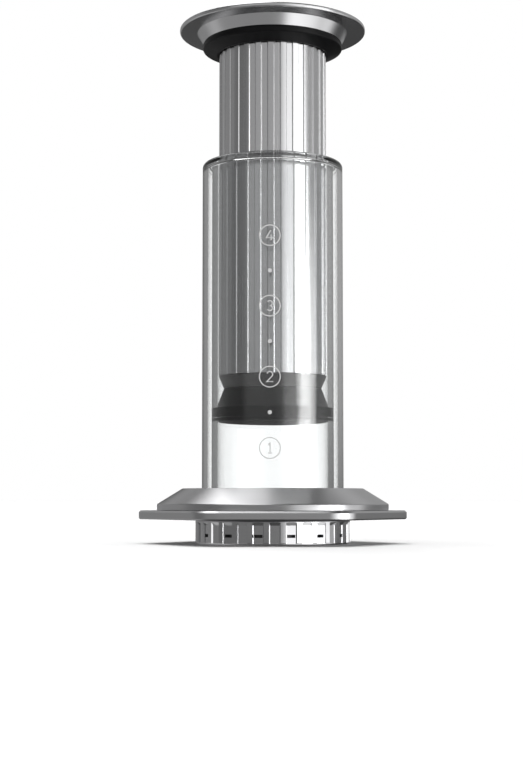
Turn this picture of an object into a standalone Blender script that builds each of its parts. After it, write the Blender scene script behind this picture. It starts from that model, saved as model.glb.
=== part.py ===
"""Piston coffee press: a double-walled glass chamber on a hexagonal metal flange, a fluted plunger
with a rubber seal, and a twist-lock filter cap. Metres, +Z up. The origin is the centre of the
filter cap's foot, on which the press stands. The front, with the printed scale, faces -Y."""

import math

import bmesh
import bpy

MM = 0.001

# Fits
SEAT_GAP = 0.15 * MM  # between flat faces that rest on each other
FIT_GAP = 0.3 * MM  # round a piece that sits in another
OVERRUN = 5.0 * MM  # how far a cutter passes the wall that it cuts

# Glass chamber, two tubes fused at the rim
BORE_RADIUS = 27.5 * MM
INNER_WALL = 2.75 * MM
WALL_SPACE = 2.15 * MM
OUTER_WALL = 2.6 * MM
GLASS_HEIGHT = 171.15 * MM
RIM_FILLET = 2.4 * MM
RIM_FLOOR = 2.8 * MM  # glass over the space between the tubes
SPACE_ROUND_SHARE = 0.85  # of that space's width, towards the outer tube
SPACE_BREAK_SHARE = 0.1  # of that space's width, towards the inner tube

# Filter cap, its liner and the paper
SKIRT_WALL = 3.4 * MM  # lock ring's skirt, round the bore
LUG_REACH = 1.0 * MM
FILTER_PLAY = 0.45 * MM
FILTER_THICKNESS = 0.3 * MM
LINER_WALL = 2.0 * MM
LINER_DROP = 0.7 * MM  # under the cap's rim
CAP_WALL = 2.65 * MM
CAP_HEIGHT = 11.6 * MM
CAP_FLOOR = 2.0 * MM
CAP_FILLET = 1.2 * MM
CAP_TOP_FILLET = 0.6 * MM
FOOT_RECESS = 0.6 * MM
FOOT_WIDTH = 3.4 * MM  # inside the bore's line
CAP_TURN = math.radians(1.1)
RIBS = 30
RIB_HEIGHT = 0.95 * MM
RECESS_SHARE = 0.58  # of the ribs' pitch
RECESS_DRAFT = 0.5 * MM
RECESS_FOOT = 0.8 * MM
RECESS_HEAD = 0.7 * MM
RECESS_RUNOUT = 1.5 * MM  # height of each recess's sloping head
SLOT_WIDTH = 4.0 * MM
SLOT_HEIGHT = 1.5 * MM
SLOT_LEVEL = 3.6 * MM
HOLE_RADIUS = 1.3 * MM
HOLE_PITCH = 5.8 * MM
HOLE_RINGS = 4
HOLE_SIDES = 6

# Bayonet lugs
LUG_COUNT = 6
LUG_SWEEP = math.radians(25.0)
LUG_HEIGHT = 1.6 * MM
LUG_LEVEL = 5.0 * MM
LUG_PLAY = 0.3 * MM
LUG_STEPS = 4

# Flange: hexagonal plate, lock ring and conical cover
CAP_TOP_GAP = 0.4 * MM
PLATE_RADIUS = 68.6 * MM  # to the sharp corners
PLATE_CORNER = 16.0 * MM
PLATE_THICKNESS = 4.3 * MM
PLATE_CHAMFER = 0.9 * MM
PLATE_LEDGE = 1.7 * MM  # plate under the outer tube of glass
RELIEF_DEPTH = 0.4 * MM  # of the plate's underside over the filter cap's rim
RELIEF_PLAY = 0.6 * MM
LOCK_FLANGE = 1.8 * MM
LOCK_FLANGE_REACH = 2.6 * MM
COVER_RADIUS = 57.1 * MM
COVER_TOP_RADIUS = 44.6 * MM
COVER_BAND = 2.95 * MM
COVER_HEIGHT = 10.6 * MM
COVER_WALL = 2.0 * MM
COVER_FILLET = 0.8 * MM
HUB_WALL = 2.6 * MM
SEAT_GASKET = 1.5 * MM
NECK_GASKET_WALL = 1.0 * MM
NECK_GASKET_HEIGHT = 3.0 * MM
NECK_GASKET_DROP = 2.0 * MM

# Plunger tube
PLUNGER_LIFT = 55.75 * MM  # above its fully pressed place
TIP_GAP = 0.4 * MM
TUBE_PLAY = 0.7 * MM
TUBE_WALL = 2.5 * MM
FLUTES = 27
FLUTE_SHARE = 0.58  # of the flutes' pitch
FLUTE_DEPTH = 0.5 * MM
FLUTE_TURN = math.radians(4.5)
SPIGOT_LENGTH = 12.0 * MM
SPIGOT_WALL = 3.0 * MM
SPIGOT_FILLET = 0.8 * MM
CORD_RADIUS = 0.9 * MM  # section of the spigots' sealing rings
CORD_LEVEL = 6.0 * MM  # from the spigot's root

# Seal and its holder
SEAL_PLAY = 0.2 * MM
SEAL_CROWN = 1.0 * MM
CROWN_SHARES = (0.8, 0.5)  # of the crown's radius
SEAL_BAND = 8.1 * MM
SEAL_CONE = 8.4 * MM
SEAL_FILLET = 0.6 * MM
SEAL_STEP = 0.3 * MM
SEAL_FLOOR = 4.4 * MM
SEAL_LIP = 3.4 * MM
WAIST_DEPTH = 3.3 * MM
HEAD_INSET = 1.8 * MM
HEAD_FILLET = 1.2 * MM
HEAD_FLOOR = 3.0 * MM
NECK_INSET = 6.3 * MM
NECK_WALL = 5.5 * MM
COLLAR_HEIGHT = 5.9 * MM

# Plunger cap and its bumper
BUMPER_HEIGHT = 5.7 * MM
BUMPER_DROP = 2.8 * MM
BUMPER_LAND = 0.9 * MM
BUMPER_FILLET = 0.7 * MM
HUB_STEP = 0.4 * MM
HUB_FLARE = 3.1 * MM
HUB_HEIGHT = 5.3 * MM
HUB_ROOF = 2.5 * MM
DISC_RADIUS = 46.6 * MM
DISC_THICKNESS = 2.2 * MM
DISC_FILLET = 0.7 * MM
DISH_RADIUS = 38.0 * MM
DISH_DEPTH = 1.2 * MM

# Facets
SEGMENTS = 40
HIDDEN_SEGMENTS = 32
CORD_SIDES = 5
FILLET_STEPS = 2
HIDDEN_FILLET_STEPS = 1
CORNER_STEPS = 6
MERGE = 0.002 * MM
SMOOTH_ANGLE = math.radians(35.0)

# Radii that follow
INNER_TUBE_RADIUS = BORE_RADIUS + INNER_WALL
OUTER_TUBE_BORE = INNER_TUBE_RADIUS + WALL_SPACE
GLASS_RADIUS = OUTER_TUBE_BORE + OUTER_WALL
SKIRT_RADIUS = BORE_RADIUS + SKIRT_WALL
LINER_BORE = SKIRT_RADIUS + LUG_REACH + FIT_GAP
FILTER_RADIUS = LINER_BORE - FILTER_PLAY
LINER_RADIUS = LINER_BORE + LINER_WALL
CAP_BORE = LINER_RADIUS + FIT_GAP
RECESS_RADIUS = CAP_BORE + CAP_WALL
CAP_RADIUS = RECESS_RADIUS + RIB_HEIGHT
PLATE_HOLE = GLASS_RADIUS - PLATE_LEDGE
LOCK_RADIUS = PLATE_HOLE - FIT_GAP
LOCK_FLANGE_RADIUS = LOCK_RADIUS + LOCK_FLANGE_REACH
COVER_HOLE = GLASS_RADIUS + FIT_GAP
TUBE_RADIUS = BORE_RADIUS - TUBE_PLAY
TUBE_BORE = TUBE_RADIUS - TUBE_WALL
SPIGOT_RADIUS = TUBE_BORE - FIT_GAP
SPIGOT_BORE = SPIGOT_RADIUS - SPIGOT_WALL
CORD_CENTRE = TUBE_BORE - SEAT_GAP - CORD_RADIUS
SEAL_RADIUS = BORE_RADIUS - SEAL_PLAY
WAIST_RADIUS = BORE_RADIUS - WAIST_DEPTH
HEAD_RADIUS = WAIST_RADIUS - HEAD_INSET
NECK_RADIUS = WAIST_RADIUS - NECK_INSET
BUMPER_BORE = TUBE_RADIUS + FIT_GAP
BUMPER_RADIUS = GLASS_RADIUS
HUB_RADIUS = BUMPER_RADIUS - HUB_STEP

# Levels of the standing pieces
FILTER_LEVEL = CAP_FLOOR + SEAT_GAP
FILTER_TOP = FILTER_LEVEL + FILTER_THICKNESS
SKIRT_LEVEL = FILTER_TOP + SEAT_GAP
PLATE_LEVEL = CAP_HEIGHT + CAP_TOP_GAP
PLATE_TOP = PLATE_LEVEL + PLATE_THICKNESS
COVER_LEVEL = PLATE_TOP + SEAT_GAP
GASKET_LEVEL = PLATE_TOP + SEAT_GAP
GLASS_LEVEL = GASKET_LEVEL + SEAT_GASKET + SEAT_GAP
GLASS_TOP = GLASS_LEVEL + GLASS_HEIGHT

# Levels of the plunger's pieces, above the tip of its seal
BAND_TOP = SEAL_CROWN + SEAL_BAND
SEAL_TOP = BAND_TOP + SEAL_CONE
LIP_LEVEL = SEAL_TOP - SEAL_LIP
COLLAR_LEVEL = SEAL_TOP + SEAT_GAP
COLLAR_TOP = COLLAR_LEVEL + COLLAR_HEIGHT
TUBE_LEVEL = COLLAR_TOP + SEAT_GAP
TIP_PRESSED = FILTER_TOP + TIP_GAP


def bumper_level():
    """Level of the bumper's underside above the tip, with its cone on the glass rim when pressed."""
    cone_start = BUMPER_BORE + BUMPER_LAND
    slope = math.atan2(BUMPER_DROP, BUMPER_RADIUS - cone_start)
    touch = (RIM_FILLET + SEAT_GAP) / math.cos(slope)
    run = BORE_RADIUS + RIM_FILLET - cone_start
    pressed = GLASS_TOP - RIM_FILLET + touch - run * math.tan(slope)
    return pressed - TIP_PRESSED


BUMPER_LEVEL = bumper_level()
TUBE_TOP = BUMPER_LEVEL + BUMPER_HEIGHT
HUB_LEVEL = TUBE_TOP + SEAT_GAP


def filleted(corners, closed=True, steps=FILLET_STEPS):
    """Points of an outline given as (x, y, fillet radius) corners, each fillet an arc."""
    points = []
    for index, (x, y, radius) in enumerate(corners):
        if radius == 0 or (not closed and index in (0, len(corners) - 1)):
            points.append((x, y))
            continue
        before, after = corners[index - 1], corners[(index + 1) % len(corners)]
        back = math.atan2(before[1] - y, before[0] - x)
        ahead = math.atan2(after[1] - y, after[0] - x)
        half = (ahead - back + math.pi) % (2 * math.pi) / 2 - math.pi / 2
        reach = radius / abs(math.sin(half))
        centre_x = x + reach * math.cos(back + half)
        centre_y = y + reach * math.sin(back + half)
        turn = (math.pi / 2 - abs(half)) * math.copysign(1, half)
        for step in range(steps + 1):
            angle = back + half + math.pi + turn - 2 * turn * step / steps
            points.append((centre_x + radius * math.cos(angle), centre_y + radius * math.sin(angle)))
    return points


def circle(radius, sides, centre=(0, 0)):
    """Points round a circle."""
    turns = [2 * math.pi * step / sides for step in range(sides)]
    return [(centre[0] + radius * math.cos(t), centre[1] + radius * math.sin(t)) for t in turns]


def polar(radius, turn):
    """Point at an angle to the right of the front, which is -Y."""
    return (radius * math.sin(turn), -radius * math.cos(turn))


def sector(inner, outer, middle, sweep):
    """Outline of a curved block between two radii, centred on an angle from the front."""
    turns = [middle + sweep * (step / LUG_STEPS - 1 / 2) for step in range(LUG_STEPS + 1)]
    return [polar(outer, t) for t in turns] + [polar(inner, t) for t in reversed(turns)]


def radial_block(turn, near, far, near_width, far_width):
    """Outline of a straight block that lies along a radius."""
    points = []
    for reach, across in (
        (near, -near_width / 2),
        (far, -far_width / 2),
        (far, far_width / 2),
        (near, near_width / 2),
    ):
        x, y = polar(reach, turn)
        points.append((x + across * math.cos(turn), y + across * math.sin(turn)))
    return points


def material(name, colour, roughness, metallic=0.0, transmission=0.0):
    """Principled material in the piece's own colour."""
    made = bpy.data.materials.new(name)
    made.use_nodes = True
    shader = made.node_tree.nodes["Principled BSDF"]
    shader.inputs["Base Color"].default_value = (*colour, 1.0)
    shader.inputs["Roughness"].default_value = roughness
    shader.inputs["Metallic"].default_value = metallic
    shader.inputs["Transmission Weight"].default_value = transmission
    return made


class Press:
    """The collections, the empties that carry the pieces, and the tools that make them."""

    def __init__(self):
        for old in list(bpy.data.objects):
            bpy.data.objects.remove(old)
        self.pieces = self.collection("coffee_press")
        self.cutters = self.collection("cutters")
        self.chamber_axis = self.empty("chamber_axis", 0)
        self.cap_axis = self.empty("cap_axis", 0)
        self.plunger_axis = self.empty("plunger_axis", TIP_PRESSED + PLUNGER_LIFT)

    @staticmethod
    def collection(name):
        made = bpy.data.collections.new(name)
        bpy.context.scene.collection.children.link(made)
        return made

    def empty(self, name, level):
        made = bpy.data.objects.new(name, None)
        self.pieces.objects.link(made)
        made.location.z = level
        return made

    def placed(self, made, cutter):
        (self.cutters if cutter else self.pieces).objects.link(made)
        if cutter:
            made.hide_render = True
            made.display_type = "WIRE"
        return made

    def turned(self, name, profile, level, closed=True, segments=SEGMENTS, cutter=False):
        """Body of revolution from (radius, height) points that run down its outer side."""
        mesh = bpy.data.meshes.new(name)
        ends = len(profile) if closed else len(profile) - 1
        edges = [(index, (index + 1) % len(profile)) for index in range(ends)]
        mesh.from_pydata([(radius, 0, height) for radius, height in profile], edges, [])
        made = bpy.data.objects.new(name, mesh)
        made.location.z = level
        screw = made.modifiers.new("Turn", "SCREW")
        screw.angle = 2 * math.pi
        screw.steps = screw.render_steps = segments
        screw.use_merge_vertices = True
        screw.merge_threshold = MERGE
        return self.placed(made, cutter)

    def flat(self, name, outlines, thickness, level, cutter=False):
        """Flat piece from closed outlines. An outline inside another is a hole in it."""
        curve = bpy.data.curves.new(name, "CURVE")
        curve.dimensions = "2D"
        curve.fill_mode = "BOTH"
        curve.extrude = thickness / 2
        for outline in outlines:
            spline = curve.splines.new("POLY")
            spline.points.add(len(outline) - 1)
            for point, (x, y) in zip(spline.points, outline):
                point.co = (x, y, 0, 1)
            spline.use_cyclic_u = True
        drawn = bpy.data.objects.new(name + "_outline", curve)
        drawn.location.z = level + thickness / 2
        self.placed(drawn, cutter)
        made = bpy.data.objects.new(name, self.evaluated_mesh(drawn))
        made.matrix_world = drawn.matrix_world.copy()
        bpy.data.objects.remove(drawn)
        return self.placed(made, cutter)

    @staticmethod
    def evaluated_mesh(source):
        """Mesh of the object with its modifiers, its loose caps welded to its sides."""
        bpy.context.view_layer.update()
        graph = bpy.context.evaluated_depsgraph_get()
        mesh = bpy.data.meshes.new_from_object(source.evaluated_get(graph))
        shape = bmesh.new()
        shape.from_mesh(mesh)
        bmesh.ops.remove_doubles(shape, verts=shape.verts, dist=MERGE)
        shape.to_mesh(mesh)
        shape.free()
        return mesh

    @staticmethod
    def boolean(made, other, operation):
        step = made.modifiers.new(operation.title(), "BOOLEAN")
        step.operation = operation
        step.object = other

    def finished(self, made, colour, axis):
        """Gives the piece its final mesh, its material and the empty that carries it."""
        mesh = self.evaluated_mesh(made)
        made.modifiers.clear()
        made.data = mesh
        mesh.shade_smooth()
        mesh.set_sharp_from_angle(angle=SMOOTH_ANGLE)
        mesh.materials.clear()
        mesh.materials.append(colour)
        made.parent = axis


def glass_chamber(press):
    """Double-walled tube, open at the foot between its walls and rounded over at the rim."""
    space_top = GLASS_HEIGHT - RIM_FLOOR
    corners = [
        (BORE_RADIUS, GLASS_HEIGHT, RIM_FILLET),
        (GLASS_RADIUS, GLASS_HEIGHT, RIM_FILLET),
        (GLASS_RADIUS, 0, 0),
        (OUTER_TUBE_BORE, 0, 0),
        (OUTER_TUBE_BORE, space_top, WALL_SPACE * SPACE_ROUND_SHARE),
        (INNER_TUBE_RADIUS, space_top, WALL_SPACE * SPACE_BREAK_SHARE),
        (INNER_TUBE_RADIUS, 0, 0),
        (BORE_RADIUS, 0, 0),
    ]
    made = press.turned("glass_chamber", filleted(corners), GLASS_LEVEL)
    glass = material("glass", (0.95, 0.97, 0.97), 0.02, transmission=1.0)
    press.finished(made, glass, press.chamber_axis)


def flange_plate(press):
    """Hexagonal plate with rounded corners, which rests on the mug's rim."""
    corners = []
    for index in range(6):
        x, y = polar(PLATE_RADIUS, math.pi / 6 - math.pi / 3 * index)
        corners.append((x, y, PLATE_CORNER))
    outline = filleted(corners, steps=CORNER_STEPS)
    made = press.flat("flange_plate", [outline], PLATE_THICKNESS, PLATE_LEVEL)
    edge = made.modifiers.new("Chamfer", "BEVEL")
    edge.width = PLATE_CHAMFER
    edge.segments = 1
    edge.limit_method = "ANGLE"
    edge.angle_limit = SMOOTH_ANGLE
    seat = LOCK_FLANGE + SEAT_GAP
    wide = LOCK_FLANGE_RADIUS + FIT_GAP
    relief = CAP_RADIUS + RELIEF_PLAY
    profile = [
        (0, PLATE_THICKNESS + OVERRUN),
        (PLATE_HOLE, PLATE_THICKNESS + OVERRUN),
        (PLATE_HOLE, seat),
        (wide, seat),
        (wide, RELIEF_DEPTH),
        (relief, RELIEF_DEPTH),
        (relief, -OVERRUN),
        (0, -OVERRUN),
    ]
    bore = press.turned("plate_bore", profile, PLATE_LEVEL, closed=False, cutter=True)
    press.boolean(made, bore, "DIFFERENCE")
    steel = material("plate_steel", (0.52, 0.52, 0.53), 0.3, metallic=1.0)
    press.finished(made, steel, press.chamber_axis)


def flange_cover(press):
    """Conical shell over the plate, whose hub holds the foot of the glass and its gasket."""
    slope = math.atan2(COVER_HEIGHT - COVER_BAND, COVER_RADIUS - COVER_TOP_RADIUS)
    hub = COVER_HOLE + HUB_WALL
    groove = COVER_HOLE + NECK_GASKET_WALL + FIT_GAP
    groove_top = COVER_HEIGHT - NECK_GASKET_DROP
    groove_foot = groove_top - NECK_GASKET_HEIGHT - 2 * SEAT_GAP
    skirt = COVER_RADIUS - COVER_WALL
    skirt_top = COVER_BAND + COVER_WALL * math.tan(slope) - COVER_WALL / math.cos(slope)
    roof = COVER_HEIGHT - COVER_WALL
    corners = [
        (COVER_HOLE, COVER_HEIGHT, 0),
        (COVER_TOP_RADIUS, COVER_HEIGHT, COVER_FILLET),
        (COVER_RADIUS, COVER_BAND, COVER_FILLET),
        (COVER_RADIUS, 0, 0),
        (skirt, 0, 0),
        (skirt, skirt_top, 0),
        (COVER_TOP_RADIUS - COVER_WALL * math.tan(slope / 2), roof, 0),
        (hub, roof, 0),
        (hub, 0, 0),
        (COVER_HOLE, 0, 0),
        (COVER_HOLE, groove_foot, 0),
        (groove, groove_foot, 0),
        (groove, groove_top, 0),
        (COVER_HOLE, groove_top, 0),
    ]
    made = press.turned("flange_cover", filleted(corners), COVER_LEVEL)
    steel = material("cover_steel", (0.58, 0.58, 0.59), 0.28, metallic=1.0)
    press.finished(made, steel, press.chamber_axis)


def ring(press, name, inner, outer, height, level):
    """Plain ring of square section."""
    profile = [(inner, height), (outer, height), (outer, 0), (inner, 0)]
    return press.turned(name, profile, level, segments=HIDDEN_SEGMENTS)


def gaskets(press):
    """Silicone band in the cover's groove, and flat ring under both walls of the glass."""
    silicone = material("clear_silicone", (0.6, 0.6, 0.6), 0.6)
    neck_foot = COVER_LEVEL + COVER_HEIGHT - NECK_GASKET_DROP - NECK_GASKET_HEIGHT - SEAT_GAP
    neck_radius = COVER_HOLE + NECK_GASKET_WALL
    neck = ring(press, "neck_gasket", COVER_HOLE, neck_radius, NECK_GASKET_HEIGHT, neck_foot)
    seat_bore = BORE_RADIUS + FIT_GAP
    seat = ring(press, "seat_gasket", seat_bore, GLASS_RADIUS, SEAT_GASKET, GASKET_LEVEL)
    press.finished(neck, silicone, press.chamber_axis)
    press.finished(seat, silicone, press.chamber_axis)


def lugs(press, name, inner, outer, level):
    """Bayonet lugs, to be joined to the wall that carries them."""
    pitch = 2 * math.pi / LUG_COUNT
    outlines = [sector(inner, outer, pitch * index, LUG_SWEEP) for index in range(LUG_COUNT)]
    return press.flat(name, outlines, LUG_HEIGHT, level, cutter=True)


def lock_ring(press):
    """Ring screwed up into the plate. Its skirt holds down the paper and carries the outer lugs."""
    flange_foot = PLATE_LEVEL - SKIRT_LEVEL
    profile = [
        (BORE_RADIUS, PLATE_TOP - SKIRT_LEVEL),
        (LOCK_RADIUS, PLATE_TOP - SKIRT_LEVEL),
        (LOCK_RADIUS, flange_foot + LOCK_FLANGE),
        (LOCK_FLANGE_RADIUS, flange_foot + LOCK_FLANGE),
        (LOCK_FLANGE_RADIUS, flange_foot),
        (SKIRT_RADIUS, flange_foot),
        (SKIRT_RADIUS, 0),
        (BORE_RADIUS, 0),
    ]
    made = press.turned("lock_ring", profile, SKIRT_LEVEL)
    root = SKIRT_RADIUS - LUG_REACH
    outer_lugs = lugs(press, "lock_ring_lugs", root, SKIRT_RADIUS + LUG_REACH, LUG_LEVEL)
    press.boolean(made, outer_lugs, "UNION")
    polymer = material("lock_polymer", (0.05, 0.05, 0.052), 0.42)
    press.finished(made, polymer, press.chamber_axis)


def cap_liner(press):
    """Black ring pressed into the filter cap, with the lugs that hook over the lock ring's."""
    level = CAP_FLOOR + SEAT_GAP
    height = CAP_HEIGHT - LINER_DROP - level
    made = ring(press, "cap_liner", LINER_BORE, LINER_RADIUS, height, level)
    tip, root = SKIRT_RADIUS + FIT_GAP, LINER_BORE + LINER_WALL / 2
    inner_lugs = lugs(press, "cap_liner_lugs", tip, root, LUG_LEVEL + LUG_HEIGHT + LUG_PLAY)
    press.boolean(made, inner_lugs, "UNION")
    polymer = material("liner_polymer", (0.03, 0.03, 0.032), 0.45)
    press.finished(made, polymer, press.cap_axis)


def paper_filter(press):
    """Disc of filter paper on the cap's floor."""
    outline = circle(FILTER_RADIUS, HIDDEN_SEGMENTS)
    made = press.flat("paper_filter", [outline], FILTER_THICKNESS, FILTER_LEVEL)
    paper = material("filter_paper", (0.88, 0.86, 0.8), 0.9)
    press.finished(made, paper, press.cap_axis)


def hole_centres():
    """Centres of the floor's holes: one in the middle and hexagonal rings round it."""
    centres = [(0, 0)]
    for number in range(1, HOLE_RINGS + 1):
        for side in range(6):
            start = polar(HOLE_PITCH * number, math.pi / 3 * side)
            end = polar(HOLE_PITCH * number, math.pi / 3 * (side + 1))
            for step in range(number):
                share = step / number
                x = start[0] + (end[0] - start[0]) * share
                y = start[1] + (end[1] - start[1]) * share
                centres.append((x, y))
    return centres


def filter_cap(press):
    """Ribbed metal cap with a drain slot in every second recess and a perforated floor."""
    foot_bore = CAP_BORE - FOOT_WIDTH
    corners = [
        (0, CAP_FLOOR, 0),
        (CAP_BORE, CAP_FLOOR, 0),
        (CAP_BORE, CAP_HEIGHT, 0),
        (CAP_RADIUS, CAP_HEIGHT, CAP_TOP_FILLET),
        (CAP_RADIUS, 0, CAP_FILLET),
        (foot_bore, 0, 0),
        (foot_bore, FOOT_RECESS, 0),
        (0, FOOT_RECESS, 0),
    ]
    profile = filleted(corners, closed=False)
    made = press.turned("filter_cap", profile, 0, closed=False, segments=2 * RIBS)
    pitch = 2 * math.pi / RIBS
    far = CAP_RADIUS + OVERRUN
    width = RECESS_RADIUS * pitch * RECESS_SHARE
    far_width = width + 2 * RECESS_DRAFT * (far - RECESS_RADIUS) / RIB_HEIGHT
    recesses = []
    slots = []
    for index in range(RIBS):
        turn = CAP_TURN + pitch * index
        recesses.append(radial_block(turn, RECESS_RADIUS, far, width, far_width))
        if index % 2:
            slots.append(radial_block(turn, CAP_BORE - OVERRUN, far, SLOT_WIDTH, SLOT_WIDTH))
    depth = CAP_HEIGHT - RECESS_HEAD - RECESS_RUNOUT - RECESS_FOOT
    recess_cutter = press.flat("cap_recesses", recesses, depth, RECESS_FOOT, cutter=True)
    for corner in recess_cutter.data.vertices:
        if corner.co.z > 0:
            reach = math.hypot(corner.co.x, corner.co.y) - RECESS_RADIUS
            corner.co.z += reach * RECESS_RUNOUT / RIB_HEIGHT
    holes = [circle(HOLE_RADIUS, HOLE_SIDES, centre) for centre in hole_centres()]
    hole_depth = CAP_FLOOR + 2 * OVERRUN
    for cutter in (
        recess_cutter,
        press.flat("cap_slots", slots, SLOT_HEIGHT, SLOT_LEVEL, cutter=True),
        press.flat("cap_holes", holes, hole_depth, -OVERRUN, cutter=True),
    ):
        press.boolean(made, cutter, "DIFFERENCE")
    steel = material("cap_steel", (0.55, 0.55, 0.56), 0.3, metallic=1.0)
    press.finished(made, steel, press.cap_axis)


def spigot(root, direction):
    """Outside of a spigot with its ring's groove, from its root to its tip, as corners."""
    groove_half = CORD_RADIUS + SEAT_GAP
    groove_radius = CORD_CENTRE - CORD_RADIUS - SEAT_GAP
    near = root + direction * (CORD_LEVEL - groove_half)
    far = root + direction * (CORD_LEVEL + groove_half)
    return [
        (SPIGOT_RADIUS, root, 0),
        (SPIGOT_RADIUS, near, 0),
        (groove_radius, near, 0),
        (groove_radius, far, 0),
        (SPIGOT_RADIUS, far, 0),
        (SPIGOT_RADIUS, root + direction * SPIGOT_LENGTH, SPIGOT_FILLET),
    ]


def sealing_ring(press, name, level):
    """Round-section rubber ring in a spigot's groove."""
    section = circle(CORD_RADIUS, CORD_SIDES)
    profile = [(CORD_CENTRE + x, -y) for x, y in section]
    made = press.turned(name, profile, level, segments=HIDDEN_SEGMENTS)
    rubber = material(name + "_rubber", (0.02, 0.02, 0.022), 0.5)
    press.finished(made, rubber, press.plunger_axis)


def plunger_seal(press):
    """Rubber piston: crowned underside, wiping band, cone, and a lip over the holder's head."""
    crown = [(SEAL_RADIUS * share, SEAL_CROWN * share**2, 0) for share in CROWN_SHARES]
    corners = [
        (0, SEAL_FLOOR, 0),
        (HEAD_RADIUS + FIT_GAP, SEAL_FLOOR, 0),
        (HEAD_RADIUS + FIT_GAP, LIP_LEVEL, 0),
        (NECK_RADIUS + FIT_GAP, LIP_LEVEL, 0),
        (NECK_RADIUS + FIT_GAP, SEAL_TOP, 0),
        (WAIST_RADIUS, SEAL_TOP, 0),
        (SEAL_RADIUS - SEAL_STEP, BAND_TOP, 0),
        (SEAL_RADIUS, BAND_TOP - SEAL_STEP, 0),
        (SEAL_RADIUS, SEAL_CROWN, SEAL_FILLET),
        *crown,
        (0, 0, 0),
    ]
    profile = filleted(corners, closed=False)
    made = press.turned("plunger_seal", profile, 0, closed=False)
    rubber = material("seal_rubber", (0.025, 0.025, 0.027), 0.45)
    press.finished(made, rubber, press.plunger_axis)


def seal_holder(press):
    """Grey moulding: a head inside the seal, a neck, the visible collar, and a spigot in the tube."""
    head_foot = SEAL_FLOOR + SEAT_GAP
    head_top = LIP_LEVEL - SEAT_GAP
    core = NECK_RADIUS - NECK_WALL
    core_top = COLLAR_LEVEL + SPIGOT_WALL
    core_foot = head_foot + HEAD_FLOOR
    tip = COLLAR_TOP + SPIGOT_LENGTH
    corners = [
        (0, core_foot, 0),
        (core, core_foot, 0),
        (core, core_top, 0),
        (SPIGOT_BORE, core_top, 0),
        (SPIGOT_BORE, tip, 0),
        *reversed(spigot(COLLAR_TOP, 1)),
        (TUBE_RADIUS, COLLAR_TOP, 0),
        (WAIST_RADIUS, COLLAR_LEVEL, 0),
        (NECK_RADIUS, COLLAR_LEVEL, 0),
        (NECK_RADIUS, head_top, 0),
        (HEAD_RADIUS, head_top, HEAD_FILLET),
        (HEAD_RADIUS, head_foot, HEAD_FILLET),
        (0, head_foot, 0),
    ]
    profile = filleted(corners, closed=False, steps=HIDDEN_FILLET_STEPS)
    made = press.turned("seal_holder", profile, 0, closed=False)
    polymer = material("holder_polymer", (0.13, 0.13, 0.13), 0.4)
    press.finished(made, polymer, press.plunger_axis)


def fluted_outline():
    """Outline of lands and shallow grooves with sloping walls."""
    pitch = 2 * math.pi / FLUTES
    half = pitch * FLUTE_SHARE / 2
    slope = FLUTE_DEPTH / TUBE_RADIUS / 2
    floor = TUBE_RADIUS - FLUTE_DEPTH
    points = []
    for index in range(FLUTES):
        middle = FLUTE_TURN + pitch * index
        points += [
            polar(TUBE_RADIUS, middle - half - slope),
            polar(floor, middle - half + slope),
            polar(floor, middle),
            polar(floor, middle + half - slope),
            polar(TUBE_RADIUS, middle + half + slope),
            polar(TUBE_RADIUS, middle + pitch / 2),
        ]
    return points


def plunger_tube(press):
    """Fluted metal tube that slides in the glass."""
    outlines = [fluted_outline(), circle(TUBE_BORE, SEGMENTS)]
    made = press.flat("plunger_tube", outlines, TUBE_TOP - TUBE_LEVEL, TUBE_LEVEL)
    aluminium = material("tube_aluminium", (0.6, 0.6, 0.61), 0.28, metallic=1.0)
    press.finished(made, aluminium, press.plunger_axis)


def bumper_ring(press):
    """Silicone ring under the hub, whose coned underside lands on the glass rim."""
    corners = [
        (BUMPER_BORE, BUMPER_HEIGHT, 0),
        (BUMPER_RADIUS, BUMPER_HEIGHT, BUMPER_FILLET),
        (BUMPER_RADIUS, BUMPER_DROP, BUMPER_FILLET),
        (BUMPER_BORE + BUMPER_LAND, 0, 0),
        (BUMPER_BORE, 0, 0),
    ]
    made = press.turned("bumper_ring", filleted(corners), BUMPER_LEVEL)
    silicone = material("bumper_silicone", (0.015, 0.015, 0.016), 0.55)
    press.finished(made, silicone, press.plunger_axis)


def plunger_cap(press):
    """Round push plate with a shallow dish, a coned hub and a hollow spigot in the tube."""
    disc_top = HUB_HEIGHT + DISC_THICKNESS
    dish = disc_top - DISH_DEPTH
    corners = [
        (0, dish, 0),
        (DISH_RADIUS - DISH_DEPTH, dish, 0),
        (DISH_RADIUS, disc_top, 0),
        (DISC_RADIUS, disc_top, DISC_FILLET),
        (DISC_RADIUS, HUB_HEIGHT, DISC_FILLET),
        (HUB_RADIUS + HUB_FLARE, HUB_HEIGHT, 0),
        (HUB_RADIUS, 0, 0),
        *spigot(0, -1),
        (SPIGOT_BORE, -SPIGOT_LENGTH, 0),
        (SPIGOT_BORE, dish - HUB_ROOF, 0),
        (0, dish - HUB_ROOF, 0),
    ]
    profile = filleted(corners, closed=False)
    made = press.turned("plunger_cap", profile, HUB_LEVEL, closed=False)
    aluminium = material("cap_aluminium", (0.6, 0.6, 0.61), 0.26, metallic=1.0)
    press.finished(made, aluminium, press.plunger_axis)


def main():
    press = Press()
    glass_chamber(press)
    flange_plate(press)
    flange_cover(press)
    gaskets(press)
    lock_ring(press)
    cap_liner(press)
    paper_filter(press)
    filter_cap(press)
    plunger_seal(press)
    seal_holder(press)
    sealing_ring(press, "lower_tube_seal", COLLAR_TOP + CORD_LEVEL)
    plunger_tube(press)
    sealing_ring(press, "upper_tube_seal", HUB_LEVEL - CORD_LEVEL)
    bumper_ring(press)
    plunger_cap(press)


main()
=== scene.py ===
"""Piston coffee press: double-walled glass chamber on a hexagonal steel flange, fluted aluminium
plunger and twist-lock filter cap, with a studio. Metres, +Z up, front towards -Y."""

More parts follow.
